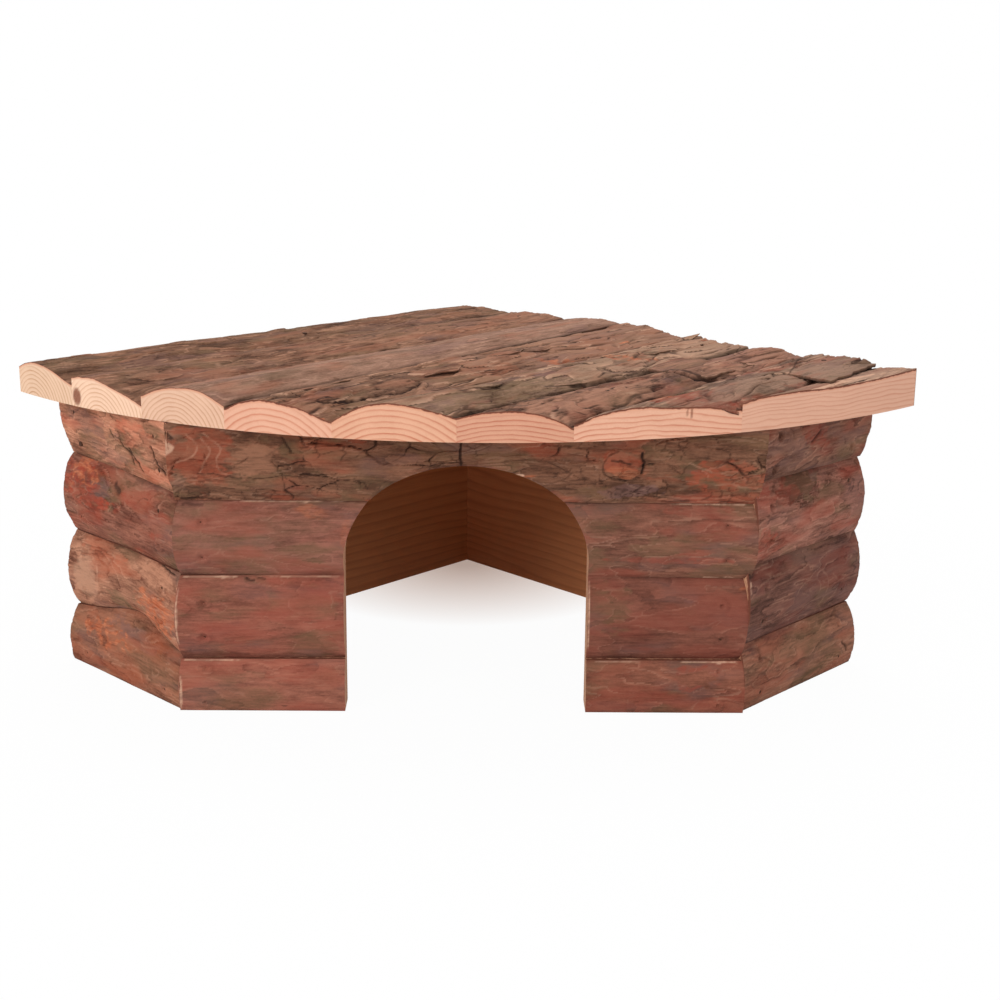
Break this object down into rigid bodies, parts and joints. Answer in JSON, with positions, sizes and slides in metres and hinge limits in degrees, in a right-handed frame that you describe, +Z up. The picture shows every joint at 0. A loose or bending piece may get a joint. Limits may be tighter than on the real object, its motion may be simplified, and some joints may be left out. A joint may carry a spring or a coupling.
{
  "type": "wooden hamster house",
  "caption": "Five-sided corner house of bark-covered half logs with an arched doorway, two flat back boards and a fan-shaped roof of bark slats nailed on top.",
  "frame": {"origin": "on the floor, at the centre of the house's bounding box", "axes": "+X to the right as seen facing the doorway, +Y to the back corner, +Z up"},
  "size_m": [0.4174, 0.2938, 0.1531],
  "materials": {
    "roof_bark": "rough bark, greyish brown, with sawn pine ends",
    "wall_bark": "reddish brown bark, smoother than the roof's",
    "board_wood": "planed board with the grain lying along",
    "batten_wood": "sawn pine",
    "brad_steel": "dull steel brad"
  },
  "bodies": {
    "root": {"back_corner_brads": "brad_steel", "front_brads": "brad_steel", "front_left_log_1": "wall_bark", "front_left_log_2": "wall_bark", "front_left_log_3": "wall_bark", "front_lintel_log": "wall_bark", "front_right_log_1": "wall_bark", "front_right_log_2": "wall_bark", "front_right_log_3": "wall_bark", "left_back_board": "board_wood", "left_corner_batten": "batten_wood", "left_side_brads": "brad_steel", "left_side_log_1": "wall_bark", "left_side_log_2": "wall_bark", "left_side_log_3": "wall_bark", "left_side_log_4": "wall_bark", "right_back_board": "board_wood", "right_corner_batten": "batten_wood", "right_side_brads": "brad_steel", "right_side_log_1": "wall_bark", "right_side_log_2": "wall_bark", "right_side_log_3": "wall_bark", "right_side_log_4": "wall_bark", "roof_brads": "brad_steel", "roof_slat_1": "roof_bark", "roof_slat_2": "roof_bark", "roof_slat_3": "roof_bark", "roof_slat_4": "roof_bark", "roof_slat_5": "roof_bark", "roof_slat_6": "roof_bark", "roof_slat_7": "roof_bark", "roof_slat_8": "roof_bark"}
  },
  "joints": []
}
